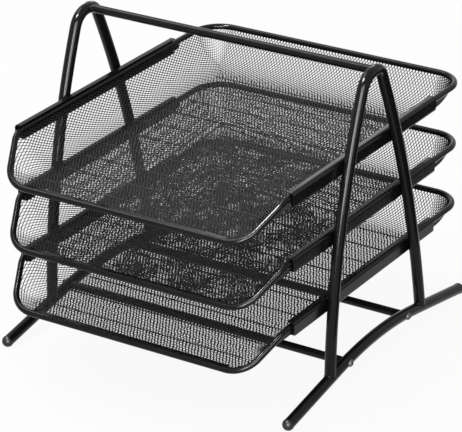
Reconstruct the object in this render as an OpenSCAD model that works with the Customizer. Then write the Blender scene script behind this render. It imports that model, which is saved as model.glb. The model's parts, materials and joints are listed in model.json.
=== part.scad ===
// Desk letter tray: a stand of bowed tubes carries six rails, and three mesh trays slide in them.
// X is to the right, Y to the back and Z up. The origin is on the table under the middle.

/* [Stand] */
// Distance between the axes of the two side frames
frame_w = 290; // [260:1:330]
// Height of the axis of the tops above the table
apex_h = 273.5; // [250:1:300]
// Place of the seam between the two legs of a side, front to back
apex_y = -7; // [-20:0.5:20]
// Width of the weld seam between the two legs of a side
seam_gap = 0.1; // [0.05:0.05:0.3]
// Gap left at every welded or pressed joint
joint_gap = 0.05; // [0.02:0.01:0.1]

/* [Feet] */
// Outer diameter of the foot tube
foot_d = 10; // [8:0.5:12]
// Wall of the foot tube
foot_wall = 1; // [0.6:0.1:1.6]
// Length of a foot between the middles of its domed ends
foot_len = 296; // [260:1:330]
// Place of the middle of a foot, front to back
foot_mid_y = 1; // [-10:0.5:10]
// Slope of the straight ends of a foot, in degrees
foot_slope = 10; // [6:0.5:13]
// Radius of the arch of a foot
foot_arch_r = 380; // [250:5:500]
// How far the domed plug stands out past the tube all round
plug_lip = 0.25; // [0.2:0.05:0.6]
// Radius of the flat that a domed plug stands on
plug_flat_r = 1.5; // [1:0.1:2]
// Length of the plug's stem in the tube
plug_stem = 9; // [5:0.5:20]

/* [Legs] */
// Outer diameter of the leg tube
leg_d = 10; // [8:0.5:11]
// Wall of the leg tube
leg_wall = 1; // [0.6:0.1:1.6]
// How far above the foot's axis the leg's saddle ends
leg_saddle = 2.2; // [1.5:0.1:3]
// Straight length of a leg between its bow and its top bend
leg_straight = 4; // [2:0.5:10]
// Place of the front leg on its foot, front to back
front_leg_y = -79; // [-95:1:-70]
// Lean of the front leg at its top, in degrees
front_lean = 21.5; // [20:0.5:26]
// Radius of the bend at the top of the front leg
front_bend_r = 18; // [12:1:24]
// Straight length of the front leg at the seam
front_flat = 4.5; // [1:0.5:8]
// Place of the back leg on its foot, front to back
back_leg_y = 77; // [70:1:95]
// Lean of the back leg at its top, in degrees
back_lean = 24; // [22:0.5:26]
// Radius of the bend at the top of the back leg
back_bend_r = 12; // [9:1:18]
// Straight length of the back leg at the seam
back_flat = 0.5; // [0.4:0.1:8]

/* [Crossbars] */
// Outer diameter of the crossbar tube
bar_d = 7.5; // [6:0.5:8.5]
// Wall of the crossbar tube
bar_wall = 1; // [0.6:0.1:1.2]
// Place of the lower front crossbar, front to back
front_bar_y = -53; // [-64:1:-30]
// Place of the lower back crossbar, front to back
back_bar_y = 47.5; // [30:0.5:62]
// Length of the threaded insert in a bar's end
insert_len = 12; // [8:1:20]
// Diameter of the screw's shank
screw_d = 4; // [3:0.5:4]
// Length of the screw's shank
screw_len = 19; // [15:1:21]
// Clearance round the screw's shank in the foot, on the diameter
screw_clear = 0.4; // [0.2:0.1:0.8]
// Clearance round the screw's shank in the insert, on the diameter
thread_clear = 0.1; // [0.1:0.05:0.2]
// Diameter of the screw's domed head
head_d = 7; // [6:0.5:9]
// Height of the screw's domed head
head_h = 2.2; // [1.5:0.1:3]
// Width across the flats of the socket in the head
socket_w = 2.5; // [2:0.5:3]
// Depth of the socket in the head
socket_deep = 1.3; // [0.8:0.1:1.4]

/* [Rails] */
// Thickness of the rail's sheet
rail_sheet = 1.2; // [0.8:0.1:1.6]
// Outer radius of the rail's two folds
rail_fold_r = 3; // [2:0.1:3.5]
// Length of a rail
rail_len = 238; // [200:1:250]
// Radius of the rounded lower front corner of a rail
rail_nose_r = 5; // [3:0.5:7]
// How far behind the drop of the rim a rail starts
rail_set_back = 4.3; // [0:0.1:12]
// How far the rail's flanges reach past the runner
rail_past = 1.15; // [0.5:0.05:1.6]

/* [Trays] */
// Height of the side wire of the bottom tray above the table
bottom_rim_h = 85; // [80:0.5:100]
// Distance from each tray to the next one up
tier_pitch = 58.5; // [55:0.5:62]
// Depth of a tray between the axes of its front and back wires
tray_d = 344; // [320:1:370]
// Diameter of the rim wire
rim_d = 5.5; // [4.5:0.1:6.5]
// Gap between the rim wire and the rail's web
rim_side_gap = 0.8; // [0.4:0.1:1.5]
// Gap between the rim wire and the rail's top flange
rim_top_gap = 1.3; // [0.5:0.1:2]
// Radius of the rim's back corners
rim_back_r = 27; // [22:1:40]
// Radius of the bend where the rim starts to drop
rim_drop_r = 20; // [12:1:30]
// Radius of the rim's front corners
rim_lip_r = 26; // [18:1:30]
// Length over which the rim drops to the front, front to back
drop_run = 39.2; // [32:0.1:50]
// How far the front wire lies below the side wires
lip_drop = 29.5; // [22:0.5:32]
// Height of the front wire's axis above the floor sheet
lip_rise = 1.5; // [1:0.1:2.5]
// Sideways slope of the walls for each unit of height
wall_slope = 0.6; // [0.4:0.05:0.7]
// Thickness of the basket's sheet
sheet = 0.6; // [0.4:0.1:1]
// Round between the walls and the floor, along each of them
basket_round = 7; // [4:0.5:9]
// Radius of the floor's front corners
floor_front_r = 20; // [14:1:28]
// Distance from the front wire to the front edge of the flat floor
lip_run = 8; // [6:0.5:12]
// Thickness of the runners and of the lip's binding
strip_t = 1.2; // [0.8:0.1:1.6]
// Depth of a runner below the axis of the wire
runner_drop = 7.25; // [6:0.25:9]
// How far a runner reaches behind its rail
runner_past = 8.5; // [4:0.5:12]
// Gap between a runner and the rail's lower flange
run_gap = 0.3; // [0.2:0.05:0.6]
// Width of the lip's binding behind the front wire
lip_binding_w = 3.6; // [2:0.1:5]
// Openings across and along the floor of a basket, which stand in for its fine mesh
floor_openings = 12; // [4:1:12]
// Openings along each side wall and along the back wall of a basket
wall_openings = 12; // [4:1:12]
// Width of the bars between the openings
grid_bar = 4; // [3:0.5:5]

/* [Hidden] */
$fn = 64;
paint_black = [0.07, 0.07, 0.075];
mesh_black = [0.12, 0.12, 0.125];
plug_black = [0.03, 0.03, 0.03];
screw_grey = [0.55, 0.55, 0.56];

// Steps in the arcs of the basket and of the bent wires
arc_steps = 8;
wire_steps = 24;
// Extra length of a cutting shape past the face that it cuts
cut_past = 1;
// Shortest straight stretch that is worth drawing
least_length = 0.01;
// A bend swells a little, and the straight stretches run into it by a length
bend_swell = 0.02;
bend_overlap = 0.4;

side_x = frame_w / 2;
plug_r = foot_d / 2 + plug_lip;
foot_end_z = sqrt(pow(plug_r, 2) - pow(plug_flat_r, 2));
foot_arch_half = foot_arch_r * sin(foot_slope);
foot_peak_z = foot_end_z + foot_len / 2 * tan(foot_slope);
foot_arch_z = foot_peak_z - foot_arch_r / cos(foot_slope);
insert_out_x = side_x - foot_d / 2 - joint_gap;
insert_r = bar_d / 2 - bar_wall - joint_gap;

rail_out_x = side_x - leg_d / 2 - joint_gap;
rim_r = rim_d / 2;
rim_x = rail_out_x - rail_sheet - rim_side_gap - rim_r;
rail_in_x = rim_x - strip_t / 2 - rail_past;
rail_depth = rail_out_x - rail_in_x;
rail_low = runner_drop + run_gap + rail_sheet;
rail_h = rail_low + rim_r + rim_top_gap + rail_sheet;

back_y = tray_d / 2;
lip_y = -tray_d / 2;
drop_y = lip_y + drop_run;
rail_front_y = drop_y + rail_set_back;
lip_x = rim_x - lip_drop * wall_slope;
floor_drop = lip_drop + lip_rise;
floor_x = rim_x - floor_drop * wall_slope;
floor_back_r = rim_back_r - floor_drop * wall_slope;
floor_front_y = lip_y + lip_run;
back_corner = [rim_x - rim_back_r, back_y - rim_back_r, 0];
front_corner = [floor_x - floor_front_r, floor_front_y + floor_front_r, 0];

// Sides and ends that a module is asked for
left = -1;
right = 1;
front = -1;
back = 1;

// Vectors and placing
function unit(v) = v / norm(v);
function mix(a, b, t) = a + (b - a) * t;
function turn(a, b) = acos(max(-1, min(1, a * b)));
function bend_run(a, b, bend_r) = bend_r * tan(turn(a, b) / 2);
function bend_normal(a, b) = unit(b - a * (a * b));
function mirrored(p) = [-p.x, p.y, p.z];
function placed(ex, ey, ez, o) = [
    [ex.x, ey.x, ez.x, o.x],
    [ex.y, ey.y, ez.y, o.y],
    [ex.z, ey.z, ez.z, o.z],
    [0, 0, 0, 1]
];

// A path with both ends carried on by a length
function lengthened(path, by) = let (last = len(path) - 1) [
    path[0] - unit(path[1] - path[0]) * by,
    for (i = [1 : last - 1]) path[i],
    path[last] + unit(path[last] - path[last - 1]) * by
];

module straight_rod(start, along, length, r) {
    aside = unit(cross(along, abs(along.x) < 0.9 ? [1, 0, 0] : [0, 0, 1]));
    multmatrix(placed(aside, cross(along, aside), along, start)) cylinder(h = length, r = r);
}

module bend_rod(corner, a, b, bend_r, r) {
    n = bend_normal(a, b);
    angle = turn(a, b);
    centre = corner - a * bend_run(a, b, bend_r) + n * bend_r;
    multmatrix(placed(-n, a, cross(-n, a), centre))
        rotate_extrude(angle = angle, $fn = ceil(wire_steps * 360 / angle))
            translate([bend_r, 0]) circle(r = r + bend_swell, $fn = 48);
}

// A round bar along corner points, open or closed, with each corner bent to its own radius.
// The ends of an open bar have a radius of zero.
module bent_rod(path, bends, r, closed = false) {
    count = len(path);
    stretches = closed ? count : count - 1;
    along = [for (i = [0 : stretches - 1]) unit(path[(i + 1) % count] - path[i])];
    runs = [
        for (i = [0 : count - 1])
            bends[i] == 0 ? 0 : bend_run(along[(i + count - 1) % count], along[i], bends[i])
    ];
    sinks = [for (run = runs) run > 0 ? bend_overlap : 0];
    for (i = [0 : stretches - 1]) {
        next = (i + 1) % count;
        length = norm(path[next] - path[i]) - runs[i] - runs[next];
        if (length > least_length)
            straight_rod(
                path[i] + along[i] * (runs[i] - sinks[i]), along[i], length + sinks[i] + sinks[next], r
            );
    }
    for (i = [0 : count - 1])
        if (bends[i] > 0) bend_rod(path[i], along[(i + count - 1) % count], along[i], bends[i], r);
}

// Height of a foot's axis at a place along it
function foot_z(y) = let (off = abs(y - foot_mid_y))
    off < foot_arch_half
        ? foot_arch_z + sqrt(pow(foot_arch_r, 2) - pow(off, 2))
        : foot_end_z + (foot_len / 2 - off) * tan(foot_slope);

function foot_path(x) = [
    [x, foot_mid_y - foot_len / 2, foot_end_z],
    [x, foot_mid_y, foot_peak_z],
    [x, foot_mid_y + foot_len / 2, foot_end_z]
];

foot_bends = [0, foot_arch_r, 0];

module foot_core(side, r) bent_rod(foot_path(side * side_x), foot_bends, r);

module foot(side) {
    bore_r = foot_d / 2 - foot_wall;
    color(paint_black) difference() {
        foot_core(side, foot_d / 2);
        bent_rod(lengthened(foot_path(side * side_x), cut_past), foot_bends, bore_r);
        for (y = [front_bar_y, back_bar_y])
            translate([side * side_x, y, foot_z(y)]) rotate([0, 90, 0])
                cylinder(h = 2 * foot_d, d = screw_d + screw_clear, center = true);
    }
}

module foot_plug(side, end) {
    stem_r = foot_d / 2 - foot_wall - joint_gap;
    color(plug_black) intersection() {
        translate([side * side_x, foot_mid_y + end * foot_len / 2, foot_end_z])
            rotate([-end * (90 + foot_slope), 0, 0]) {
                intersection() {
                    sphere(r = plug_r);
                    translate([0, 0, joint_gap]) cylinder(h = 2 * plug_r, r = 2 * plug_r);
                }
                translate([0, 0, -plug_stem]) cylinder(h = plug_stem + 2 * joint_gap, r = stem_r);
            }
        translate([side * side_x, foot_mid_y + end * foot_len / 2, 0])
            translate([-foot_len, -foot_len, 0]) cube(2 * foot_len);
    }
}

// Corner points of a leg, from its foot to the seam, and the radius of its bow
function leg_down(end) = let (lean = end == front ? front_lean : back_lean) [0, end * sin(lean), -cos(lean)];
function leg_bend_r(end) = end == front ? front_bend_r : back_bend_r;
function leg_flat(end) = end == front ? front_flat : back_flat;
function leg_start(end) = let (y = end == front ? front_leg_y : back_leg_y) [0, y, foot_z(y) + leg_saddle];
function leg_corner_run(end) = bend_run(-leg_down(end), [0, -end, 0], leg_bend_r(end));
function leg_corner(end) = [0, apex_y + end * (leg_flat(end) + leg_corner_run(end)), apex_h];
function leg_bow_end(end) = leg_corner(end) + leg_down(end) * (leg_corner_run(end) + leg_straight);
function leg_bow_run(end) = let (v = leg_start(end) - leg_bow_end(end)) (v * v) / (2 * (v * leg_down(end)));
function leg_knee(end) = leg_bow_end(end) + leg_down(end) * leg_bow_run(end);
function leg_bow_r(end) = let (up = unit(leg_knee(end) - leg_start(end)))
    leg_bow_run(end) / tan(turn(up, -leg_down(end)) / 2);

function leg_path(side, end) = [
    for (p = [leg_start(end), leg_knee(end), leg_corner(end), [0, apex_y + end * seam_gap / 2, apex_h]])
        p + [side * side_x, 0, 0]
];
function leg_bends(end) = [0, leg_bow_r(end), leg_bend_r(end), 0];

module leg_core(side, end, r) bent_rod(leg_path(side, end), leg_bends(end), r);

module leg(side, end) {
    color(paint_black) difference() {
        leg_core(side, end, leg_d / 2);
        bent_rod(lengthened(leg_path(side, end), cut_past), leg_bends(end), leg_d / 2 - leg_wall);
        foot_core(side, foot_d / 2 + joint_gap);
    }
}

module bar_tube(y, z) {
    translate([0, y, z]) rotate([0, 90, 0]) difference() {
        cylinder(h = frame_w, d = bar_d, center = true);
        cylinder(h = frame_w + 2 * cut_past, d = bar_d - 2 * bar_wall, center = true);
    }
}

module top_crossbar() {
    color(paint_black) difference() {
        bar_tube(apex_y, apex_h);
        for (side = [left, right], end = [front, back]) leg_core(side, end, leg_d / 2 + joint_gap);
        // The seam's own width
        for (side = [left, right]) translate([side * side_x, apex_y, apex_h]) rotate([90, 0, 0])
            cylinder(h = 2 * seam_gap, d = leg_d + 2 * joint_gap, center = true);
    }
}

module lower_crossbar(y) {
    color(paint_black) difference() {
        bar_tube(y, foot_z(y));
        for (side = [left, right]) foot_core(side, foot_d / 2 + joint_gap);
    }
}

module bar_insert(side, y) {
    color(screw_grey)
        translate([side * (insert_out_x - insert_len / 2), y, foot_z(y)]) rotate([0, 90, 0]) difference() {
            cylinder(h = insert_len, r = insert_r, center = true);
            cylinder(h = insert_len + 2 * cut_past, d = screw_d + thread_clear, center = true);
        }
}

module domed_screw() {
    dome_r = (pow(head_d / 2, 2) + pow(head_h, 2)) / (2 * head_h);
    difference() {
        intersection() {
            translate([0, 0, head_h - dome_r]) sphere(r = dome_r);
            cylinder(h = head_h + cut_past, d = head_d + cut_past);
        }
        translate([0, 0, head_h - socket_deep])
            cylinder(h = socket_deep + cut_past, d = socket_w / cos(30), $fn = 6);
    }
    translate([0, 0, -screw_len]) cylinder(h = screw_len + joint_gap, d = screw_d);
}

module crossbar_screws() {
    color(screw_grey) for (side = [left, right], y = [front_bar_y, back_bar_y])
        translate([side * (side_x + foot_d / 2 + joint_gap), y, foot_z(y)])
            rotate([0, side * 90, 0]) domed_screw();
}

// How many trays lie below the "bottom", "middle" or "top" one, and the height of its side wires
function tiers_up(tier) = tier == "top" ? 2 : tier == "middle" ? 1 : 0;
function rim_h(tier) = bottom_rim_h + tiers_up(tier) * tier_pitch;

// Section of a channel with folds of one radius at the web
module channel_section(depth, height, fold_r) {
    translate([-depth, 0]) square([depth - fold_r, height]);
    translate([-depth, fold_r]) square([depth, height - 2 * fold_r]);
    for (z = [fold_r, height - fold_r]) translate([-fold_r, z]) circle(r = fold_r);
}

module rail_section() {
    difference() {
        channel_section(rail_depth, rail_h, rail_fold_r);
        translate([-rail_sheet, rail_sheet])
            channel_section(rail_depth, rail_h - 2 * rail_sheet, rail_fold_r - rail_sheet);
    }
}

module rail(tier, side) {
    color(paint_black) mirror([side == left ? 1 : 0, 0, 0])
        translate([rail_out_x, rail_front_y, rim_h(tier) - rail_low]) difference() {
            translate([0, rail_len, 0]) rotate([90, 0, 0]) linear_extrude(rail_len) rail_section();
            // Rounded lower front corner
            difference() {
                translate([-2 * rail_depth, -rail_nose_r, -rail_nose_r])
                    cube([3 * rail_depth, 2 * rail_nose_r, 2 * rail_nose_r]);
                translate([0, rail_nose_r, rail_nose_r]) rotate([0, 90, 0])
                    cylinder(h = 5 * rail_depth, r = rail_nose_r, center = true);
            }
        }
}

// Corner points of the right half of a rim, measured from the height of its side wires
rim_corners = [[rim_x, back_y, 0], [rim_x, drop_y, 0], [lip_x, lip_y, -lip_drop]];
rim_along = [
    [1, 0, 0],
    [0, -1, 0],
    unit(rim_corners[2] - rim_corners[1]),
    [-1, 0, 0]
];
rim_bends = [rim_back_r, rim_drop_r, rim_lip_r];

module rim(tier) {
    loop = [for (p = rim_corners) p, for (i = [2 : -1 : 0]) mirrored(rim_corners[i])];
    bends = [for (i = [0, 1, 2, 2, 1, 0]) rim_bends[i]];
    color(paint_black) translate([0, 0, rim_h(tier)]) bent_rod(loop, bends, rim_r, closed = true);
}

// Strip that hangs under a side wire and runs on the rail's lower flange
module runner(tier, side) {
    front_y = drop_y + bend_run(rim_along[1], rim_along[2], rim_drop_r);
    length = rail_front_y + rail_len + runner_past - front_y;
    color(paint_black) mirror([side == left ? 1 : 0, 0, 0])
        translate([rim_x - strip_t / 2, front_y, rim_h(tier) - runner_drop])
            cube([strip_t, length, runner_drop - rim_r - joint_gap]);
}

// Strip behind the front wire, over the front edge of the basket
module lip_binding(tier) {
    half_w = lip_x - bend_run(rim_along[2], rim_along[3], rim_lip_r);
    color(paint_black)
        translate([-half_w, lip_y + rim_r + joint_gap, rim_h(tier) - lip_drop])
            cube([2 * half_w, lip_binding_w, strip_t]);
}

// Points along a rim bend, each with its direction
function bend_steps(i, steps) =
    let (
        a = rim_along[i],
        b = rim_along[i + 1],
        n = bend_normal(a, b),
        angle = turn(a, b),
        bend_r = rim_bends[i],
        centre = rim_corners[i] - a * bend_run(a, b, bend_r) + n * bend_r
    ) [
        for (s = [0 : steps]) let (t = angle * s / steps) [
            centre - n * bend_r * cos(t) + a * bend_r * sin(t),
            a * cos(t) + n * sin(t)
        ]
    ];

// One place on the basket's edge: wire point, wire direction, floor edge point and the way out from the floor
function edge_place(wire, floor_point, out) = [wire[0], wire[1], floor_point - [0, 0, floor_drop], out];

back_wire = bend_steps(0, arc_steps);
drop_wire = bend_steps(1, arc_steps / 2);
lip_wire = bend_steps(2, arc_steps);
drop_start_y = drop_wire[0][0].y;

half_edge = [
    for (s = [0 : arc_steps]) let (t = 90 * s / arc_steps, out = [sin(t), cos(t), 0])
        edge_place(back_wire[s], back_corner + out * floor_back_r, out),
    for (wire = drop_wire)
        let (share = (wire[0].y - drop_start_y) / (lip_wire[0][0].y - drop_start_y))
            edge_place(wire, [floor_x, mix(drop_start_y, front_corner.y, share), 0], [1, 0, 0]),
    for (s = [0 : arc_steps]) let (t = 90 * s / arc_steps, out = [cos(t), -sin(t), 0])
        edge_place(lip_wire[s], front_corner + out * floor_front_r, out)
];

// Section of the basket's sheet at one place: points from the wire to the flat floor, each with the way out
function sheet_section(place) =
    let (
        wire = place[0],
        along = place[1],
        low = place[2],
        fall = (low - wire) - along * ((low - wire) * along),
        top_edge = wire + unit(fall) * (rim_r + joint_gap),
        wall_out = unit(cross(along, fall)),
        down = [0, 0, -1],
        share = min(0.45, basket_round / norm(low - top_edge)),
        bend_top = mix(low, top_edge, share),
        bend_low = low - place[3] * norm(bend_top - low)
    ) [
        [top_edge, wall_out],
        [bend_top, wall_out],
        [(bend_top + 2 * low + bend_low) / 4, unit(wall_out + down)],
        [bend_low, down]
    ];

half_sections = [for (place = half_edge) sheet_section(place)];
rows = len(half_sections[0]);
half_count = len(half_edge);
ring_count = 2 * half_count;

// Point of the sheet's outer (+1) or inner (-1) face, going round from the back to the right and the front
function skin_point(i, row, face) =
    let (
        on_right = i < half_count,
        spot = half_sections[on_right ? i : ring_count - 1 - i][row],
        p = spot[0] + spot[1] * face * sheet / 2
    ) on_right ? p : mirrored(p);

// Numbers of the corners of a strip between two rings of points, and across the floor
function strip_faces(upper, lower) = [
    for (i = [0 : ring_count - 1]) let (j = (i + 1) % ring_count)
        for (f = [[upper + i, lower + i, lower + j], [upper + i, lower + j, upper + j]]) f
];
function floor_faces(ring) = [
    for (i = [0 : half_count - 2]) let (j = ring_count - 1 - i)
        for (f = [[ring + i, ring + j, ring + j - 1], [ring + i, ring + j - 1, ring + i + 1]]) f
];
function flipped(faces) = [for (f = faces) [f[2], f[1], f[0]]];

// Plain grid of openings between two corners, with half a bar left at each edge
module opening_grid(low, high, across, along) {
    pitch = [(high.x - low.x) / across, (high.y - low.y) / along];
    for (i = [0 : across - 1], j = [0 : along - 1])
        translate(low + [i * pitch.x, j * pitch.y] + [grid_bar, grid_bar] / 2)
            square(pitch - [grid_bar, grid_bar]);
}

// Openings of a basket, seen from above: in the floor, the side walls and the back wall
module basket_openings() {
    floor_back_y = back_corner.y + floor_back_r;
    flat_x = floor_x - basket_round;
    wall_low = floor_x + grid_bar / 2;
    wall_high = rim_x - grid_bar / 2;
    opening_grid(
        [-flat_x, floor_front_y + basket_round], [flat_x, floor_back_y - basket_round],
        floor_openings, floor_openings
    );
    for (side = [left, right]) mirror([side == left ? 1 : 0, 0])
        opening_grid([wall_low, drop_start_y], [wall_high, back_corner.y], 1, wall_openings);
    opening_grid(
        [-back_corner.x, floor_back_y + grid_bar / 2], [back_corner.x, back_y - grid_bar / 2], wall_openings, 1
    );
}

module basket(tier) {
    points = [
        for (face = [1, -1], row = [0 : rows - 1], i = [0 : ring_count - 1]) skin_point(i, row, face)
    ];
    inner = rows * ring_count;
    last_ring = (rows - 1) * ring_count;
    outer_walls = [
        for (row = [0 : rows - 2], f = strip_faces(row * ring_count, (row + 1) * ring_count)) f
    ];
    inner_walls = [for (f = flipped(outer_walls)) [for (k = f) k + inner]];
    color(mesh_black) translate([0, 0, rim_h(tier)]) difference() {
        polyhedron(points, concat(
            outer_walls,
            inner_walls,
            floor_faces(last_ring),
            flipped(floor_faces(inner + last_ring)),
            strip_faces(inner, 0)
        ));
        translate([0, 0, -floor_drop - cut_past]) linear_extrude(floor_drop + 2 * cut_past) basket_openings();
    }
}

foot(left);  // left_foot
foot(right);  // right_foot
foot_plug(left, front);  // left_front_foot_plug
foot_plug(left, back);  // left_back_foot_plug
foot_plug(right, front);  // right_front_foot_plug
foot_plug(right, back);  // right_back_foot_plug
leg(left, front);  // left_front_leg
leg(left, back);  // left_back_leg
leg(right, front);  // right_front_leg
leg(right, back);  // right_back_leg
top_crossbar();
lower_crossbar(front_bar_y);  // lower_front_crossbar
lower_crossbar(back_bar_y);  // lower_back_crossbar
bar_insert(left, front_bar_y);  // front_bar_left_insert
bar_insert(right, front_bar_y);  // front_bar_right_insert
bar_insert(left, back_bar_y);  // back_bar_left_insert
bar_insert(right, back_bar_y);  // back_bar_right_insert
crossbar_screws();
rail("top", left);  // top_left_rail
rail("top", right);  // top_right_rail
rail("middle", left);  // middle_left_rail
rail("middle", right);  // middle_right_rail
rail("bottom", left);  // bottom_left_rail
rail("bottom", right);  // bottom_right_rail
rim("top");  // top_rim
runner("top", left);  // top_left_runner
runner("top", right);  // top_right_runner
lip_binding("top");  // top_lip_binding
basket("top");  // top_basket
rim("middle");  // middle_rim
runner("middle", left);  // middle_left_runner
runner("middle", right);  // middle_right_runner
lip_binding("middle");  // middle_lip_binding
basket("middle");  // middle_basket
rim("bottom");  // bottom_rim
runner("bottom", left);  // bottom_left_runner
runner("bottom", right);  // bottom_right_runner
lip_binding("bottom");  // bottom_lip_binding
basket("bottom");  // bottom_basket
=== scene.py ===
"""Looks of a desk letter tray: a stand of bowed black tubes with three sliding trays of expanded mesh"""

import json
import math

import bpy
import numpy as np
from mathutils import Matrix, Vector


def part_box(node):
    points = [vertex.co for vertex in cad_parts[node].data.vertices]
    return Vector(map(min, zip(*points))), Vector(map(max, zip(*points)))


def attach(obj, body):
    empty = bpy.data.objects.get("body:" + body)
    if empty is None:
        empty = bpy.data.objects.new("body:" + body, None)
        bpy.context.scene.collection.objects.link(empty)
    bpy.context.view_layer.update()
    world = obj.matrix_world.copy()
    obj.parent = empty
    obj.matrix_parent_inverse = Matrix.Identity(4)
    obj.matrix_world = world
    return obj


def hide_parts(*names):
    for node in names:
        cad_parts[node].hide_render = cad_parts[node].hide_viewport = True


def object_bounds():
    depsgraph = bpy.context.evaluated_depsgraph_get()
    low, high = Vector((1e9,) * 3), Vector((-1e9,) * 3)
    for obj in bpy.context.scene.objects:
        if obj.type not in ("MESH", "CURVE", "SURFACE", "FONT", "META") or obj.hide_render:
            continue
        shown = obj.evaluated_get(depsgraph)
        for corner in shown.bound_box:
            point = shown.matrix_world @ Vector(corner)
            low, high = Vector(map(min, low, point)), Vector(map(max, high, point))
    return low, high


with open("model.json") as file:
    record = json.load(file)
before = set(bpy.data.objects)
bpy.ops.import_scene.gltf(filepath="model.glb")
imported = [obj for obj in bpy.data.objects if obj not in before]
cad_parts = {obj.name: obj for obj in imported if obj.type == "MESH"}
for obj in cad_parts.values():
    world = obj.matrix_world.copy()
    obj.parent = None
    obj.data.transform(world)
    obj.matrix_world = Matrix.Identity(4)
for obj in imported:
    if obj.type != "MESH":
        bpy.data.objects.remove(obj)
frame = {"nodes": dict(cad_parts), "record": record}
cad_low, cad_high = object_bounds()
nodes = frame["nodes"]

MM = 0.001
TRAYS = ("top", "middle", "bottom")

# Camera: where the photograph was taken from, in degrees, metres and pixels
PHOTO_WIDTH = 462
SENSOR_WIDTH = 36.0
CAMERA_FOCAL_PIXELS = 2779.83
CAMERA_AZIMUTH = math.radians(32.871)
CAMERA_PITCH = math.radians(24.926)
CAMERA_ROLL = math.radians(-0.787)
CAMERA_TARGET = np.array([0.0, 2.0, 130.0]) * MM
CAMERA_ASIDE = -3.984 * MM
CAMERA_UP = -25.382 * MM
CAMERA_DISTANCE = 2441.98 * MM
CAMERA_CLIP_END = 20.0

# Rim wire and basket of a tray, as the solids have them
WIRE_R = 2.75 * MM
WIRE_GAP = 0.05 * MM
BACK_CORNER_R = 27 * MM
DROP_BEND_R = 20 * MM
LIP_CORNER_R = 26 * MM
DROP_RUN = 39.2 * MM
LIP_RISE = 1.5 * MM
LIP_RUN = 8 * MM
WALL_SLOPE = 0.6
FLOOR_FRONT_R = 20 * MM
EDGE_STEPS = 24

# Foot of a basket's walls, bowed out of the floor more softly than in the solids: how far the bow reaches to
# each side of the floor's edge, and at most which share of a low wall it takes
BASKET_ROUND = 24 * MM
ROUND_SHARE = 0.65

# Expanded mesh: diamonds that are longer from front to back than across. The strands stand on edge in the
# walls. In the floor they are pressed flatter, with the back corner of each hole lifted and the front corner
# lowered. Each tray's net is uneven in its own way, and its cut edge sinks a little into the rim wire.
DIAMOND_ACROSS = 3.1 * MM
DIAMOND_ALONG = 5.2 * MM
WALL_STRAND_WIDTH = 0.32 * MM
WALL_STRAND_DEPTH = 0.82 * MM
FLOOR_STRAND_WIDTH = 1.16 * MM
FLOOR_STRAND_DEPTH = 0.4 * MM
FLOOR_STRAND_LIFT = 0.25 * MM
PRESS_FADE = 8 * MM
NET_WARP = 0.3 * MM
NET_WARP_LENGTHS = (6 * MM, 14 * MM)
NET_WARP_WAVES = 40
MESH_SINK = 0.5 * MM
SLOPE_STEP = 0.02 * MM

# Ways from the middle of a hole to its corners: right, back, left and front
HOLE_CORNERS = np.array([[1, 0], [0, 1], [-1, 0], [0, -1]])

# Bake map of a net: its upper side in the lower half of the page with the walls of the holes in the holes,
# and its lower side in the upper half
BAKE_HALF = (0.98, 0.48)
BAKE_UPPER = (0.01, 0.01)
BAKE_LOWER = (0.01, 0.51)
HOLE_WALL_MAP = 0.3 * MM

# Ribs pressed across the floor of a tray. The taper has places as shares of half a rib's length, from its
# middle to its end, each with the share of the full size that the rib has there.
RIB_PITCH = 30 * MM
RIB_MIDDLE_Y = 5 * MM
RIB_MARGIN = 16 * MM
RIB_WIDTH = 1.1 * MM
RIB_HEIGHT = 0.5 * MM
RIB_SIDES = 6
RIB_TAPER = np.array([[0.0, 1.0], [0.5, 1.0], [0.97, 1.0], [0.99, 0.7], [1.0, 0.2]])

# Stand: tubes that the weld beads follow, as the solids have them, with the front end first
LEG_R = 5 * MM
LEG_SADDLE = 2.2 * MM
LEG_STRAIGHT = 4 * MM
LEG_PLACE_Y = (-79 * MM, 77 * MM)
LEG_LEAN = (math.radians(21.5), math.radians(24))
LEG_BEND_R = (18 * MM, 12 * MM)
LEG_FLAT = (4.5 * MM, 0.5 * MM)
FOOT_SLOPE = math.radians(10)
SADDLE_BEAD_R = 0.5 * MM
SEAM_BEAD_R = 0.32 * MM
BEAD_STEPS = 72
BEAD_SIDES = 8
BEAD_RIPPLE = 0.14
RIPPLE_STEPS = 6

# Studio, in metres: the floor, just under the feet, the dark card on it, and how far away most lamps hang
FLOOR_REACH = 4.0
FLOOR_HEIGHT = -0.3 * MM
CARD_LOW = (0.27, -0.1)
CARD_HIGH = (1.6, 1.6)
CARD_HEIGHT = 1.0 * MM
LAMP_DISTANCE = 1.6


def unit(vectors):
    """Vectors brought to length one"""
    return vectors / np.linalg.norm(vectors, axis=-1, keepdims=True)


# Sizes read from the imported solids
rim_low, rim_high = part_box("top_rim")
rim_x = rim_high.x - WIRE_R
back_y = rim_high.y - WIRE_R
lip_y = rim_low.y + WIRE_R
rim_height = {tray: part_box(tray + "_rim")[1].z - WIRE_R for tray in TRAYS}
lip_drop = rim_height["top"] - rim_low.z - WIRE_R
drop_y = lip_y + DROP_RUN
lip_x = rim_x - lip_drop * WALL_SLOPE
floor_drop = lip_drop + LIP_RISE
floor_x = rim_x - floor_drop * WALL_SLOPE
floor_back_r = BACK_CORNER_R - floor_drop * WALL_SLOPE
back_corner = np.array([rim_x - BACK_CORNER_R, back_y - BACK_CORNER_R])
front_corner = np.array([floor_x - FLOOR_FRONT_R, lip_y + LIP_RUN + FLOOR_FRONT_R])
bar_low, bar_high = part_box("top_crossbar")
bar_r = (bar_high.z - bar_low.z) / 2
apex_y = (bar_low.y + bar_high.y) / 2
apex_z = (bar_low.z + bar_high.z) / 2
foot_low, foot_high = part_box("right_foot")
foot_r = (foot_high.x - foot_low.x) / 2
side_x = (foot_low.x + foot_high.x) / 2
foot_mid_y = (foot_low.y + foot_high.y) / 2
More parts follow.
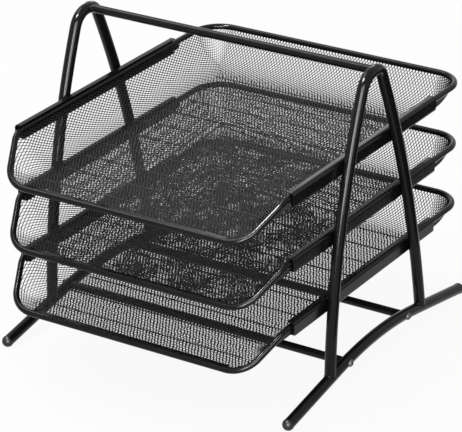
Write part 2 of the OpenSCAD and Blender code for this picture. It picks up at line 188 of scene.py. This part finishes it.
foot_half = (foot_high.y - foot_low.y) / 2 - foot_r * math.sin(FOOT_SLOPE)
foot_end_z = foot_low.z + foot_r * math.cos(FOOT_SLOPE)


class Shade:
    """One output of a shader node. Sums on it add Math nodes, and add() brings in any other node."""

    def __init__(self, tree, output=None):
        self.tree = tree
        self.output = output

    def add(self, kind, settings=None, sockets=None, output=0):
        """A node of a kind, with its settings first and then the values or links of its sockets"""
        node = self.tree.nodes.new(kind)
        for name, value in (settings or {}).items():
            setattr(node, name, value)
        for name, value in (sockets or {}).items():
            if isinstance(value, Shade):
                self.tree.links.new(value.output, node.inputs[name])
            else:
                node.inputs[name].default_value = value
        return Shade(self.tree, node.outputs[output] if node.outputs else None)

    def math(self, operation, first, second, clamp=False):
        settings = {"operation": operation, "use_clamp": clamp}
        return self.add("ShaderNodeMath", settings, {0: first, 1: second})

    def __add__(self, other):
        return self.math("ADD", self, other)

    def __radd__(self, other):
        return self.math("ADD", other, self)

    def __sub__(self, other):
        return self.math("SUBTRACT", self, other)

    def __rsub__(self, other):
        return self.math("SUBTRACT", other, self)

    def __mul__(self, other):
        return self.math("MULTIPLY", self, other)

    def __rmul__(self, other):
        return self.math("MULTIPLY", other, self)

    def clipped(self):
        """Kept between nothing and one"""
        return self.math("ADD", self, 0.0, clamp=True)

    def swing(self, amount):
        """The ups and downs of a noise about its middle, as far as an amount in all"""
        return (self - 0.5) * amount

    def above(self, level, gain):
        """Only what rises above a level, made stronger and kept under one"""
        return ((self - level) * gain).clipped()

    def place(self):
        """Places on the object"""
        return self.add("ShaderNodeTexCoord", output="Object")

    def noise(self, where, scale, detail):
        return self.add("ShaderNodeTexNoise", None, {"Vector": where, "Scale": scale, "Detail": detail})

    def mixed(self, share, first, second):
        """A colour between two. A Mix node has its colours in sockets 6 and 7, and their mix in output 2."""
        sockets = {0: share, 6: first, 7: second}
        return self.add("ShaderNodeMix", {"data_type": "RGBA"}, sockets, output=2)

    def bump(self, height, strength, depth):
        """A normal that follows a height"""
        return self.add("ShaderNodeBump", None, {"Strength": strength, "Distance": depth, "Height": height})


def new_material(name):
    material = bpy.data.materials.new(name)
    material.use_nodes = True
    material.node_tree.nodes.clear()
    return material, Shade(material.node_tree)


def grey(level, tint=0.0):
    """A grey, a little bluer with tint"""
    return (level, level, level * (1 + tint), 1.0)


def finish_material(material, shade, sockets):
    surface = shade.add("ShaderNodeBsdfPrincipled", None, sockets)
    shade.add("ShaderNodeOutputMaterial", None, {"Surface": surface})
    return material


def black_enamel(name, black, gloss_roughness, peel_depth):
    """Sprayed black enamel on steel: orange peel, clouds in the gloss and a trace of dust on what faces up"""
    material, shade = new_material(name)
    where = shade.place()
    clouds = shade.noise(where, scale=45.0, detail=3.0)
    peel = shade.noise(where, scale=850.0, detail=2.0)
    specks = shade.noise(where, scale=2600.0, detail=1.0)
    facing = shade.add("ShaderNodeNewGeometry", output="Normal")
    upward = shade.add("ShaderNodeSeparateXYZ", None, {"Vector": facing}, output="Z").clipped()
    dust = (upward * upward * specks.above(0.52, gain=5.0) * clouds).clipped()
    deep, thin = grey(black, tint=0.10), grey(black * 2.2, tint=0.06)
    return finish_material(material, shade, {
        "Base Color": shade.mixed((clouds * 0.5 + dust * 0.4).clipped(), deep, thin),
        "Roughness": gloss_roughness + clouds.swing(0.10) + dust * 0.2,
        "Specular IOR Level": 0.14,
        "Normal": shade.bump(peel, strength=0.25, depth=peel_depth),
    })


def mesh_enamel():
    """Thin satin enamel on the expanded mesh, greyer where the spray is thin"""
    material, shade = new_material("mesh_enamel")
    where = shade.place()
    clouds = shade.noise(where, scale=30.0, detail=3.0)
    grains = shade.noise(where, scale=1500.0, detail=2.0)
    thinness = ((clouds - 0.35) * 1.2 + grains.swing(0.5)).clipped()
    return finish_material(material, shade, {
        "Base Color": shade.mixed(thinness, grey(0.012, tint=0.08), grey(0.03, tint=0.05)),
        "Roughness": 0.6 + grains.swing(0.25) + clouds.swing(0.1),
        "Specular IOR Level": 0.17,
    })


def plug_plastic():
    """Moulded black plastic with a fine spark-eroded grain"""
    material, shade = new_material("plug_plastic")
    where = shade.place()
    grain = shade.noise(where, scale=1800.0, detail=3.0)
    scuffs = shade.noise(where, scale=220.0, detail=4.0)
    return finish_material(material, shade, {
        "Base Color": shade.mixed(scuffs.above(0.5, gain=2.0), grey(0.012), grey(0.03)),
        "Roughness": 0.36 + grain.swing(0.2),
        "Specular IOR Level": 0.25,
        "Normal": shade.bump(grain, strength=0.4, depth=0.06 * MM),
    })


def zinc_plating():
    """Dull zinc plating with fine turning marks and a faint cloudiness"""
    material, shade = new_material("zinc_plating")
    where = shade.place()
    clouds = shade.noise(where, scale=500.0, detail=3.0)
    marks = shade.noise(where, scale=4200.0, detail=2.0)
    return finish_material(material, shade, {
        "Base Color": shade.mixed(clouds, grey(0.06, tint=0.06), grey(0.11)),
        "Metallic": 1.0,
        "Roughness": 0.62 + marks.swing(0.3),
        "Normal": shade.bump(marks, strength=0.2, depth=0.03 * MM),
    })


finishes = {
    "stand_paint": black_enamel("stand_enamel", black=0.004, gloss_roughness=0.16, peel_depth=0.04 * MM),
    "rail_paint": black_enamel("rail_enamel", black=0.004, gloss_roughness=0.22, peel_depth=0.04 * MM),
    "rim_paint": black_enamel("rim_enamel", black=0.004, gloss_roughness=0.16, peel_depth=0.03 * MM),
    "mesh_paint": mesh_enamel(),
    "foot_plug": plug_plastic(),
    "screw_steel": zinc_plating(),
}

for row in frame["record"]["subparts"]:
    solid = nodes[row["node"]]
    solid.data.materials.clear()
    solid.data.materials.append(finishes[row["material_slot"]])


def place_piece(name, mesh, body, slot, lift=0.0):
    """A piece of the scene in its finish, riding on a body"""
    piece = bpy.data.objects.new(name, mesh)
    bpy.context.scene.collection.objects.link(piece)
    piece.matrix_world = Matrix.Translation((0, 0, lift))
    if not mesh.materials:
        mesh.materials.append(finishes[slot])
    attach(piece, body)
    return piece


# Weld beads of the stand
def bead_mesh(name, path, radius, closed):
    """A weld bead along a path, with the ripples that the weld pool leaves"""
    count = len(path)
    if closed:
        ahead, behind = np.roll(path, -1, axis=0), np.roll(path, 1, axis=0)
    else:
        ahead, behind = np.vstack([path[1:], path[-1:]]), np.vstack([path[:1], path[:-1]])
    along = unit(ahead - behind)
    aside = unit(path - path.mean(axis=0))
    aside = unit(aside - along * np.sum(aside * along, axis=1, keepdims=True))
    across = np.cross(along, aside)
    ripple = 1 + BEAD_RIPPLE * np.sin(2 * math.pi * np.arange(count) / RIPPLE_STEPS)
    angle = 2 * math.pi * np.arange(BEAD_SIDES) / BEAD_SIDES
    turned = aside[:, None] * np.cos(angle)[:, None] + across[:, None] * np.sin(angle)[:, None]
    points = path[:, None] + turned * (radius * ripple)[:, None, None]
    faces = []
    for i in range(count if closed else count - 1):
        here, there = i * BEAD_SIDES, (i + 1) % count * BEAD_SIDES
        for n in range(BEAD_SIDES):
            m = (n + 1) % BEAD_SIDES
            faces.append((here + n, here + m, there + m, there + n))
    if not closed:
        faces.append(tuple(reversed(range(BEAD_SIDES))))
        faces.append(tuple((count - 1) * BEAD_SIDES + n for n in range(BEAD_SIDES)))
    mesh = bpy.data.meshes.new(name)
    mesh.from_pydata(points.reshape(-1, 3).tolist(), [], faces)
    mesh.shade_smooth()
    return mesh


def leg_saddle(side, end):
    """The line on which a leg stands on its foot, which is straight there"""
    outward = (-1, 1)[end]
    lean, leg_y = LEG_LEAN[end], LEG_PLACE_Y[end]
    down = np.array([0.0, outward * math.sin(lean), -math.cos(lean)])
    bend_run = LEG_BEND_R[end] * math.tan((math.pi / 2 - lean) / 2)
    corner = np.array([0.0, apex_y + outward * (LEG_FLAT[end] + bend_run), apex_z])
    foot_z = foot_end_z + (foot_half - abs(leg_y - foot_mid_y)) * math.tan(FOOT_SLOPE)
    foot_axis = np.array([0.0, leg_y, foot_z])
    foot_way = np.array([0.0, math.cos(FOOT_SLOPE), -outward * math.sin(FOOT_SLOPE)])
    start = foot_axis + (0.0, 0.0, LEG_SADDLE)
    chord = unit(start - corner - down * (bend_run + LEG_STRAIGHT))
    up = down - chord * 2 * (down @ chord)
    angle = 2 * math.pi * np.arange(BEAD_STEPS)[:, None] / BEAD_STEPS
    right = np.array([1.0, 0.0, 0.0])
    ring = start + (right * np.cos(angle) + np.cross(up, right) * np.sin(angle)) * LEG_R
    off = ring - foot_axis
    off = off - (off @ foot_way)[:, None] * foot_way
    rise = up - (up @ foot_way) * foot_way
    toward = off @ rise
    reach = np.maximum(toward ** 2 - (rise @ rise) * (np.sum(off * off, axis=1) - foot_r ** 2), 0.0)
    climb = np.maximum((np.sqrt(reach) - toward) / (rise @ rise), 0.0)
    return ring + climb[:, None] * up + (side * side_x, 0.0, 0.0)


def apex_seam(side):
    """The line on which the two legs of a side meet, from one side of the crossbar round to the other"""
    half_bar = math.asin(bar_r / LEG_R)
    angle = np.linspace(half_bar, 2 * math.pi - half_bar, BEAD_STEPS)
    x = side * (side_x - LEG_R * np.cos(angle))
    return np.column_stack([x, np.full(BEAD_STEPS, apex_y), apex_z + LEG_R * np.sin(angle)])


def crossbar_saddle(side):
    """The line on which the top crossbar meets the legs. The back leg already bends down there."""
    angle = 2 * math.pi * np.arange(BEAD_STEPS) / BEAD_STEPS
    y, z = bar_r * np.cos(angle), bar_r * np.sin(angle)
    into_bend = np.maximum(y - LEG_FLAT[1], 0.0)
    fall = LEG_BEND_R[1] - np.sqrt(LEG_BEND_R[1] ** 2 - into_bend ** 2)
    x = side * (side_x - np.sqrt(np.maximum(LEG_R ** 2 - (z + fall) ** 2, 0.0)))
    return np.column_stack([x, apex_y + y, apex_z + z])


def weld(name, path, radius, closed):
    """A bead on the stand, in the paint of its tubes"""
    place_piece(name, bead_mesh(name, path, radius, closed), "stand", "stand_paint")


for side, side_name in ((-1, "left"), (1, "right")):
    for end, end_name in enumerate(("front", "back")):
        weld("%s_%s_leg_weld" % (side_name, end_name), leg_saddle(side, end), SADDLE_BEAD_R, closed=True)
    weld(side_name + "_top_seam", apex_seam(side), SEAM_BEAD_R, closed=False)
    weld(side_name + "_crossbar_weld", crossbar_saddle(side), SADDLE_BEAD_R, closed=True)


# Basket surface: from the flat sheet to the pressed dish
def wire_bend(corner, before, after, radius, steps):
    """Points along a rounded corner of a wire or tube, each with its direction"""
    turn = math.acos(float(before @ after))
    inward = unit(after - before * (before @ after))
    centre = corner - before * radius * math.tan(turn / 2) + inward * radius
    angle = np.linspace(0.0, turn, steps + 1)[:, None]
    points = centre + (before * np.sin(angle) - inward * np.cos(angle)) * radius
    return points, before * np.cos(angle) + inward * np.sin(angle)


def basket_edge():
    """The right half of a tray's edge from the middle of the back to the middle of the front.

    Gives the length round the floor's edge, the floor's edge, the way out from it and the wall's top edge.
    """
    corners = np.array([[rim_x, back_y, 0.0], [rim_x, drop_y, 0.0], [lip_x, lip_y, -lip_drop]])
    right = np.array([1.0, 0.0, 0.0])
    forward = np.array([0.0, -1.0, 0.0])
    ways = [right, forward, unit(corners[2] - corners[1]), -right]
    back_wire, back_way = wire_bend(corners[0], ways[0], ways[1], BACK_CORNER_R, EDGE_STEPS)
    drop_wire, drop_way = wire_bend(corners[1], ways[1], ways[2], DROP_BEND_R, EDGE_STEPS)
    lip_wire, lip_way = wire_bend(corners[2], ways[2], ways[3], LIP_CORNER_R, EDGE_STEPS)
    angle = np.linspace(0.0, math.pi / 2, EDGE_STEPS + 1)[:, None]
    back_out = np.hstack([np.sin(angle), np.cos(angle)])
    front_out = np.hstack([np.cos(angle), -np.sin(angle)])
    drop_out = np.tile([1.0, 0.0], (EDGE_STEPS + 1, 1))
    share = (drop_wire[:, 1] - drop_wire[0, 1]) / (lip_wire[0, 1] - drop_wire[0, 1])
    drop_floor_y = drop_wire[0, 1] + (front_corner[1] - drop_wire[0, 1]) * share
    drop_floor = np.column_stack([np.full(EDGE_STEPS + 1, floor_x), drop_floor_y])
    wire = np.vstack([[[0, back_y, 0]], back_wire, drop_wire, lip_wire, [[0, lip_y, -lip_drop]]])
    way = np.vstack([[ways[0]], back_way, drop_way, lip_way, [ways[3]]])
    out = np.vstack([[[0, 1]], back_out, drop_out, front_out, [[0, -1]]])
    floor = np.vstack([
        [[0, back_corner[1] + floor_back_r]],
        back_corner + back_out * floor_back_r,
        drop_floor,
        front_corner + front_out * FLOOR_FRONT_R,
        [[0, front_corner[1] - FLOOR_FRONT_R]],
    ])
    floor = np.column_stack([floor, np.full(len(floor), -floor_drop)])
    fall = floor - wire
    fall = unit(fall - way * np.sum(fall * way, axis=1, keepdims=True))
    top_edge = wire + fall * (WIRE_R + WIRE_GAP)
    steps = np.linalg.norm(np.diff(floor, axis=0), axis=1)
    length = np.concatenate([[0.0], np.cumsum(steps)])
    return length, floor, np.column_stack([out, np.zeros(len(out))]), top_edge


edge_length, edge_floor, edge_out, edge_top = basket_edge()
edge_wall = np.linalg.norm(edge_top - edge_floor, axis=1)
side_start = back_corner[0] + floor_back_r * math.pi / 2
front_start = side_start + back_corner[1] - front_corner[1]
front_end = front_start + FLOOR_FRONT_R * math.pi / 2


def along_edge(table, length):
    """Rows of a table of the edge, between its places"""
    return np.column_stack([np.interp(length, edge_length, column) for column in table.T])


def sheet_place(x, y):
    """How far round the floor's edge a place on the flat sheet lies, and how far out from that edge"""
    aside = np.abs(x)
    side_out = aside - floor_x
    back_out = y - back_corner[1] - floor_back_r
    front_out = front_corner[1] - FLOOR_FRONT_R - y
    out = np.maximum(side_out, np.maximum(back_out, front_out))
    length = np.where(
        out == side_out,
        side_start + back_corner[1] - y,
        np.where(out == back_out, aside, front_end + front_corner[0] - aside),
    )
    at_back = (aside > back_corner[0]) & (y > back_corner[1])
    dx, dy = aside - back_corner[0], y - back_corner[1]
    out = np.where(at_back, np.hypot(dx, dy) - floor_back_r, out)
    length = np.where(at_back, back_corner[0] + floor_back_r * np.arctan2(dx, dy), length)
    at_front = (aside > front_corner[0]) & (y < front_corner[1])
    dx, dy = aside - front_corner[0], front_corner[1] - y
    out = np.where(at_front, np.hypot(dx, dy) - FLOOR_FRONT_R, out)
    length = np.where(at_front, front_start + FLOOR_FRONT_R * np.arctan2(dy, dx), length)
    return length, out


def pressed(x, y):
    """Places of the flat sheet on the pressed dish, measured from the height of the side wires"""
    length, out = sheet_place(x, y)
    floor = along_edge(edge_floor, length)
    top = along_edge(edge_top, length)
    away = unit(along_edge(edge_out, length))
    wall = np.linalg.norm(top - floor, axis=1)
    rise = (top - floor) / wall[:, None]
    bend = np.minimum(ROUND_SHARE * wall, BASKET_ROUND)
    passed = np.clip((out + bend) / (2 * bend), 0.0, 1.0)[:, None]
    low, high = floor - away * bend[:, None], floor + rise * bend[:, None]
    rounded = low * (1 - passed) ** 2 + floor * 2 * passed * (1 - passed) + high * passed ** 2
    points = np.where((out > bend)[:, None], floor + rise * out[:, None], rounded)
    points[:, 0] *= np.where(x < 0, -1.0, 1.0)
    flat = np.column_stack([x, y, np.full(len(x), -floor_drop)])
    return np.where((out < -bend)[:, None], flat, points)


def sheet_room(x, y):
    """How far a place lies inside the sheet's cut edge, and how far inside the flat floor"""
    length, out = sheet_place(x, y)
    wall = np.interp(length, edge_length, edge_wall)
    return wall + MESH_SINK - out, -np.minimum(ROUND_SHARE * wall, BASKET_ROUND) - out


# Net of diamonds on the flat sheet
def floor_share(places):
    """One on the floor, falling to nothing over the rounded foot of the walls"""
    _, inside = sheet_room(places[:, 0], places[:, 1])
    return np.clip(1 + inside / PRESS_FADE, 0.0, 1.0)[:, None]


def net_warp(places, chance):
    """How far the press has pushed each place of the net, as a sum of waves in random directions"""
    heading = chance.uniform(0, 2 * math.pi, NET_WARP_WAVES)
    number = 2 * math.pi / chance.uniform(*NET_WARP_LENGTHS, NET_WARP_WAVES)
    phase = chance.uniform(0, 2 * math.pi, NET_WARP_WAVES)
    push = chance.normal(0, NET_WARP * math.sqrt(2 / NET_WARP_WAVES), (NET_WARP_WAVES, 2))
    waves = np.cos(places @ (np.stack([np.cos(heading), np.sin(heading)]) * number) + phase)
    return waves @ push * floor_share(places)


def diamond_net(chance):
    """Corners of the holes and the flat strands and knots between them, all over the flat sheet"""
    count_x = math.ceil((rim_x + floor_drop) / (DIAMOND_ACROSS / 2))
    count_y = math.ceil((back_y + floor_drop) / (DIAMOND_ALONG / 2))
    half = np.array([DIAMOND_ACROSS / 2, DIAMOND_ALONG / 2])
    inner = half[0] * half[1] / math.hypot(half[0], half[1])
    grid = [
        (i, j) for i in range(-count_x, count_x + 1) for j in range(-count_y, count_y + 1) if (i + j) % 2 == 0
    ]
    middles = np.array(grid) * half + chance.uniform(-1, 1, 2) * half
    strand = WALL_STRAND_WIDTH + (FLOOR_STRAND_WIDTH - WALL_STRAND_WIDTH) * floor_share(middles)
    hole = half * (1 - strand / 2 / inner)
    points = (middles[:, None] + HOLE_CORNERS * hole[:, None]).reshape(-1, 2)
    points = points + net_warp(points, chance)
    numbers = {place: n * len(HOLE_CORNERS) for n, place in enumerate(grid)}
    right, back, left, front = range(len(HOLE_CORNERS))
    faces = []
    for (i, j), here in numbers.items():
        up_right = numbers.get((i + 1, j + 1))
        up_left = numbers.get((i - 1, j + 1))
        ahead = numbers.get((i + 2, j))
        if up_right is not None:
            faces.append((here + right, up_right + front, up_right + left, here + back))
        if up_left is not None:
            faces.append((here + back, up_left + right, up_left + front, here + left))
        below = numbers.get((i + 1, j - 1))
        if up_right is not None and ahead is not None and below is not None:
            faces.append((here + right, below + back, ahead + left, up_right + front))
    return points, faces


def face_edges(face):
    """Pairs of neighbouring corners, once round a face"""
    return zip(face, face[1:] + face[:1])


def cut_faces(points, faces, room):
    """Faces with what lies outside the cut edge taken off"""
    points, room = list(points), list(room)
    cuts = {}

    def cut_point(a, b):
        key = (min(a, b), max(a, b))
        if key not in cuts:
            share = room[key[0]] / (room[key[0]] - room[key[1]])
            cuts[key] = len(points)
            points.append(points[key[0]] + (points[key[1]] - points[key[0]]) * share)
        return cuts[key]

    kept = []
    for face in faces:
        inside = [room[k] > 0 for k in face]
        if all(inside):
            kept.append(face)
        elif any(inside):
            cut = []
            for a, b in face_edges(face):
                if room[a] > 0:
                    cut.append(a)
                if (room[a] > 0) != (room[b] > 0):
                    cut.append(cut_point(a, b))
            kept.append(tuple(cut))
    return np.array(points), kept


def net_mesh(name, faces, edges_open, sheet, upper, lower):
    """A mesh of some of the net's faces: both sides and the walls of the holes, with its map for baking"""
    used = sorted({k for face in faces for k in face})
    number = {k: n for n, k in enumerate(used)}
    count = len(used)
    rings = [tuple(number[k] for k in face) for face in faces]
    bottoms = [tuple(k + count for k in reversed(ring)) for ring in rings]
    walls = [(number[b], number[a], number[a] + count, number[b] + count) for a, b in edges_open]
    mesh = bpy.data.meshes.new(name)
    mesh.from_pydata(np.vstack([upper[used], lower[used]]).tolist(), [], rings + bottoms + walls)
    flat = sheet[used]
    ends = np.array(edges_open)
    start, end = sheet[ends[:, 0]], sheet[ends[:, 1]]
    along = unit(end - start)
    into_hole = np.column_stack([along[:, 1], -along[:, 0]]) * HOLE_WALL_MAP
    wall_corners = np.stack([end, start, start + into_hole, end + into_hole], axis=1).reshape(-1, 2)
    low, size = flat.min(axis=0), np.ptp(flat, axis=0)
    page = np.vstack([
        (flat[np.concatenate(rings)] - low) / size * BAKE_HALF + BAKE_UPPER,
        (flat[np.concatenate([ring[::-1] for ring in rings])] - low) / size * BAKE_HALF + BAKE_LOWER,
        (wall_corners - low) / size * BAKE_HALF + BAKE_UPPER,
    ])
    bake_map = mesh.uv_layers.new(name="OFBake")
    bake_map.uv.foreach_set("vector", page.astype(np.float32).ravel())
    mesh.update()
    return mesh


def basket_meshes(tray):
    """The floor and the walls of a tray's basket, measured from the height of the side wires"""
    sheet, faces = diamond_net(np.random.default_rng(TRAYS.index(tray)))
    corner_lift = np.tile(HOLE_CORNERS[:, 1] * FLOOR_STRAND_LIFT, len(sheet) // len(HOLE_CORNERS))
    edge_room, _ = sheet_room(sheet[:, 0], sheet[:, 1])
    sheet, faces = cut_faces(sheet, faces, edge_room)
    x, y = sheet[:, 0], sheet[:, 1]
    places = pressed(x, y)
    across = pressed(x + SLOPE_STEP, y) - pressed(x - SLOPE_STEP, y)
    along = pressed(x, y + SLOPE_STEP) - pressed(x, y - SLOPE_STEP)
    normal = unit(np.cross(across, along))
    share = floor_share(sheet)
    depth = WALL_STRAND_DEPTH + (FLOOR_STRAND_DEPTH - WALL_STRAND_DEPTH) * share
    lift = np.append(corner_lift, np.zeros(len(sheet) - len(corner_lift)))[:, None] * share
    upper = places + normal * (lift + depth / 2)
    lower = places + normal * (lift - depth / 2)
    sides = dict.fromkeys(edge for face in faces for edge in face_edges(face))
    open_edges = [(a, b) for a, b in sides if (b, a) not in sides]
    _, floor_room = sheet_room(x, y)
    on_floor = [face for face in faces if floor_room[list(face)].mean() > 0]
    on_walls = [face for face in faces if floor_room[list(face)].mean() <= 0]
    meshes = []
    for name, part in (("floor", on_floor), ("walls", on_walls)):
        own = {edge for face in part for edge in face_edges(face)}
        own_open = [edge for edge in open_edges if edge in own]
        meshes.append(net_mesh("%s_basket_%s" % (tray, name), part, own_open, sheet, upper, lower))
    return meshes


def rib_mesh():
    """Ribs pressed across the floor, low and round, dying out before the walls"""
    half_x = floor_x - RIB_MARGIN
    first = math.ceil((front_corner[1] - FLOOR_FRONT_R + RIB_MARGIN - RIB_MIDDLE_Y) / RIB_PITCH)
    last = math.floor((back_corner[1] - RIB_MIDDLE_Y) / RIB_PITCH)
    angles = np.linspace(0.0, math.pi, RIB_SIDES + 1)
    ring = len(angles)
    stations = np.vstack([RIB_TAPER[:0:-1] * (-1, 1), RIB_TAPER])
    base = -floor_drop - FLOOR_STRAND_DEPTH / 2
    points, faces = [], []
    for k in range(first, last + 1):
        start = len(points)
        for place, size in stations:
            for angle in angles:
                points.append((
                    place * half_x,
                    RIB_MIDDLE_Y + k * RIB_PITCH + math.cos(angle) * RIB_WIDTH / 2 * size,
                    base + math.sin(angle) * (RIB_HEIGHT + FLOOR_STRAND_DEPTH) * size,
                ))
        end = len(points) - ring
        for here in range(start, end, ring):
            for n in range(ring):
                m = (n + 1) % ring
                faces.append((here + n, here + m, here + ring + m, here + ring + n))
        faces.append(tuple(start + n for n in reversed(range(ring))))
        faces.append(tuple(end + n for n in range(ring)))
    mesh = bpy.data.meshes.new("floor_ribs")
    mesh.from_pydata(points, [], faces)
    mesh.update()
    return mesh


floor_ribs = rib_mesh()
for tray in TRAYS:
    basket_floor, basket_walls = basket_meshes(tray)
    for part, mesh in (("floor", basket_floor), ("walls", basket_walls), ("ribs", floor_ribs)):
        name = "%s_basket_%s" % (tray, part)
        piece = place_piece(name, mesh, tray + "_tray", "mesh_paint", lift=rim_height[tray])
        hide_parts(tray + "_basket")


# Studio: white surroundings, a pale floor, lamps beside the camera, overhead and behind, and, shown only by
# gloss, a broad lamp, a small high one for the bends of the lips, and a dark card
def seen_directly(shade):
    """One for rays that show the background itself: from the camera, in gloss and through glass"""
    path = shade.add("ShaderNodeLightPath")
    kinds = [Shade(shade.tree, path.output.node.outputs[n]) for n in (
        "Is Camera Ray", "Is Glossy Ray", "Is Transmission Ray"
    )]
    return (kinds[0] + kinds[1] + kinds[2]).clipped()


def light_surroundings(ambient, white):
    world = bpy.data.worlds.new("studio")
    bpy.context.scene.world = world
    world.use_nodes = True
    world.node_tree.nodes.clear()
    shade = Shade(world.node_tree)
    strength = ambient + seen_directly(shade) * (white - ambient)
    glow = shade.add("ShaderNodeBackground", None, {"Color": (1, 1, 1, 1), "Strength": strength})
    shade.add("ShaderNodeOutputWorld", None, {"Surface": glow})


def level_sheet(name, low, high, height, material):
    """A level rectangle of the studio between two corners"""
    corners = [(low[0], low[1]), (high[0], low[1]), (high[0], high[1]), (low[0], high[1])]
    mesh = bpy.data.meshes.new(name)
    mesh.from_pydata([(x, y, height) for x, y in corners], [], [(0, 1, 2, 3)])
    mesh.materials.append(material)
    sheet = bpy.data.objects.new(name, mesh)
    bpy.context.scene.collection.objects.link(sheet)
    return sheet


def lay_floor(white, matt_level, shadow_share):
    """A pale floor that shows as white, with a share of the shadows on it"""
    material, shade = new_material("studio_floor")
    glow = shade.add("ShaderNodeEmission", None, {"Color": (1, 1, 1, 1), "Strength": white})
    matt = shade.add("ShaderNodeBsdfDiffuse", None, {"Color": grey(matt_level)})
    glow_share = seen_directly(shade) * (1 - shadow_share)
    surface = shade.add("ShaderNodeMixShader", None, {0: glow_share, 1: matt, 2: glow})
    shade.add("ShaderNodeOutputMaterial", None, {"Surface": surface})
    low, high = (-FLOOR_REACH, -FLOOR_REACH), (FLOOR_REACH, FLOOR_REACH)
    floor = level_sheet("studio_floor", low, high, FLOOR_HEIGHT, material)


def lay_dark_card(matt_level):
    """A dark card on the floor to the right, beyond the picture, which only gloss shows"""
    material, shade = new_material("dark_card")
    matt = shade.add("ShaderNodeBsdfDiffuse", None, {"Color": grey(matt_level)})
    shade.add("ShaderNodeOutputMaterial", None, {"Surface": matt})
    card = level_sheet("dark_card", CARD_LOW, CARD_HIGH, CARD_HEIGHT, material)
    card.visible_camera = False
    card.visible_diffuse = False
    card.visible_transmission = False
    card.visible_shadow = False


def hang_lamp(name, azimuth, elevation, width, height, power, distance=LAMP_DISTANCE):
    """A soft lamp that faces the middle of the object. Its azimuth goes round to the right from the front."""
    turn, lift = math.radians(azimuth), math.radians(elevation)
    away = Vector((math.sin(turn) * math.cos(lift), -math.cos(turn) * math.cos(lift), math.sin(lift)))
    light = bpy.data.lights.new(name, "AREA")
    light.shape = "RECTANGLE"
    light.size = width
    light.size_y = height
    light.energy = power
    lamp = bpy.data.objects.new(name, light)
    lamp.location = (cad_low + cad_high) / 2 + away * distance
    lamp.rotation_euler = away.to_track_quat("Z", "Y").to_euler()
    bpy.context.scene.collection.objects.link(lamp)
    return lamp


light_surroundings(ambient=0.6, white=0.975)
lay_floor(white=1.0, matt_level=0.85, shadow_share=0.08)
hang_lamp("front_lamp", azimuth=21, elevation=8, width=0.22, height=0.75, power=14)
hang_lamp("overhead_lamp", azimuth=-97, elevation=60, width=0.6, height=0.6, power=9)
hang_lamp("back_lamp", azimuth=-152, elevation=26, width=0.3, height=0.4, power=1, distance=1.44)
gloss_lamp = hang_lamp("gloss_lamp", azimuth=30, elevation=20, width=1.3, height=1.15, power=84)
gloss_lamp.data.color = (0.94, 0.92, 1.0)
gloss_lamp.visible_diffuse = False
lip_lamp = hang_lamp("lip_lamp", azimuth=-26, elevation=65, width=0.3, height=0.3, power=60)
lip_lamp.visible_diffuse = False
lay_dark_card(matt_level=0.02)


# Camera: level first, then tilted down and rolled
def place_camera():
    turn, tilt, roll = CAMERA_AZIMUTH, CAMERA_PITCH, CAMERA_ROLL
    right = np.array([math.cos(turn), math.sin(turn), 0.0])
    level = np.array([-math.sin(turn), math.cos(turn), 0.0])
    upright = np.array([0.0, 0.0, 1.0])
    look = level * math.cos(tilt) - upright * math.sin(tilt)
    rise = upright * math.cos(tilt) + level * math.sin(tilt)
    right_rolled = right * math.cos(roll) + rise * math.sin(roll)
    rise_rolled = rise * math.cos(roll) - right * math.sin(roll)
    eye = CAMERA_TARGET + right_rolled * CAMERA_ASIDE + rise_rolled * CAMERA_UP - look * CAMERA_DISTANCE
    camera = bpy.data.objects.new("camera", bpy.data.cameras.new("camera"))
    bpy.context.scene.collection.objects.link(camera)
    matrix = np.eye(4)
    matrix[:3] = np.column_stack([right_rolled, rise_rolled, -look, eye])
    camera.matrix_world = Matrix(matrix.tolist())
    camera.data.sensor_width = SENSOR_WIDTH
    camera.data.lens = CAMERA_FOCAL_PIXELS / PHOTO_WIDTH * SENSOR_WIDTH
    camera.data.clip_end = CAMERA_CLIP_END
    bpy.context.scene.camera = camera


place_camera()
bpy.context.scene.view_settings.view_transform = "Standard"
